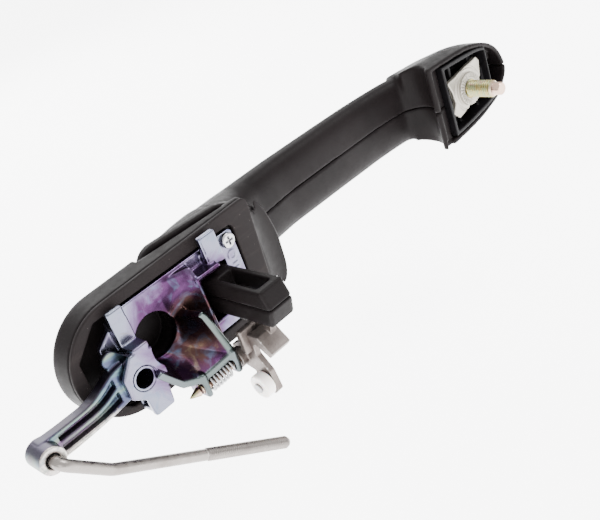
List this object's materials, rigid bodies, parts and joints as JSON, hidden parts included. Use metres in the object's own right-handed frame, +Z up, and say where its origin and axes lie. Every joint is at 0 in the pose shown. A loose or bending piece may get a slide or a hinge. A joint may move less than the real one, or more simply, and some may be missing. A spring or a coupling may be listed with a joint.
{
  "type": "car door handle",
  "caption": "Black pull-type outside car door handle with a die-cast lock carrier, spring-loaded release lever, lock lever with pull rod, rubber gasket and a studded foot.",
  "frame": {"origin": "centre of the lock-cylinder bore, on the plane where the door skin sits", "axes": "+X along the handle from the foot to the lock end, +Y from the street side into the door, +Z up"},
  "size_m": [0.2945, 0.0776, 0.0918],
  "materials": {
    "moulded_black": "fine-grained black moulded plastic",
    "insert_black": "plain black moulded plastic",
    "gasket_rubber": "dull soft rubber",
    "passivated_zinc": "die-cast zinc with iridescent passivation",
    "raw_zinc": "dull pale die casting",
    "cast_lever": "pitted warm-grey casting",
    "zinc_screw": "bright zinc-plated steel",
    "spring_wire": "bright spring steel",
    "yellow_steel": "yellow-chromated steel",
    "rod_steel": "plated drawn steel",
    "white_plastic": "smooth off-white plastic"
  },
  "bodies": {
    "root": {"lock_plate": "moulded_black", "plate_gasket": "gasket_rubber", "lock_carrier": "passivated_zinc", "carrier_screws": "zinc_screw", "lever_sleeve": "passivated_zinc", "lock_lever_spring": "spring_wire", "release_pin": "yellow_steel", "release_spring": "spring_wire", "foot_insert": "insert_black", "foot_nut_plate": "raw_zinc", "foot_stud": "yellow_steel", "grip_hinge_pin": "spring_wire"},
    "grip": {"grip_upper_half": "moulded_black", "grip_lower_half": "moulded_black"},
    "release_lever": {"release_lever": "cast_lever", "roller_pin": "spring_wire"},
    "release_roller": {"release_roller": "white_plastic"},
    "lock_lever": {"lock_lever": "passivated_zinc"},
    "pull_rod": {"pull_rod": "rod_steel"}
  },
  "joints": [
    {"name": "grip_pull", "type": "hinge", "parent": "root", "child": "grip", "pos_m": [-0.223, -0.0075, 0], "axis": [0, 0, -1], "range_deg": [0, 2.7], "stiffness_Nm_per_rad": 1},
    {"name": "release_lever_turn", "type": "hinge", "parent": "root", "child": "release_lever", "pos_m": [-0.024, 0.011, -0.0236], "axis": [1, 0, 0], "range_deg": [0, 24.1], "stiffness_Nm_per_rad": 0.02},
    {"name": "roller_spin", "type": "hinge", "parent": "release_lever", "child": "release_roller", "pos_m": [-0.0208, 0.021, -0.033], "axis": [1, 0, 0], "continuous": true},
    {"name": "lock_lever_turn", "type": "hinge", "parent": "root", "child": "lock_lever", "pos_m": [0.0155, 0.0054, -0.005], "axis": [0, 1, 0], "range_deg": [-5, 30], "stiffness_Nm_per_rad": 0.1},
    {"name": "rod_swing", "type": "hinge", "parent": "lock_lever", "child": "pull_rod", "pos_m": [0.0565, 0.0077, -0.0065], "axis": [0, 1, 0], "range_deg": [-30, 5]}
  ],
  "couplings": [
    {"joint": "release_lever_turn", "follows": "grip_pull", "ratio": 8.9},
    {"joint": "rod_swing", "follows": "lock_lever_turn", "ratio": -1}
  ]
}
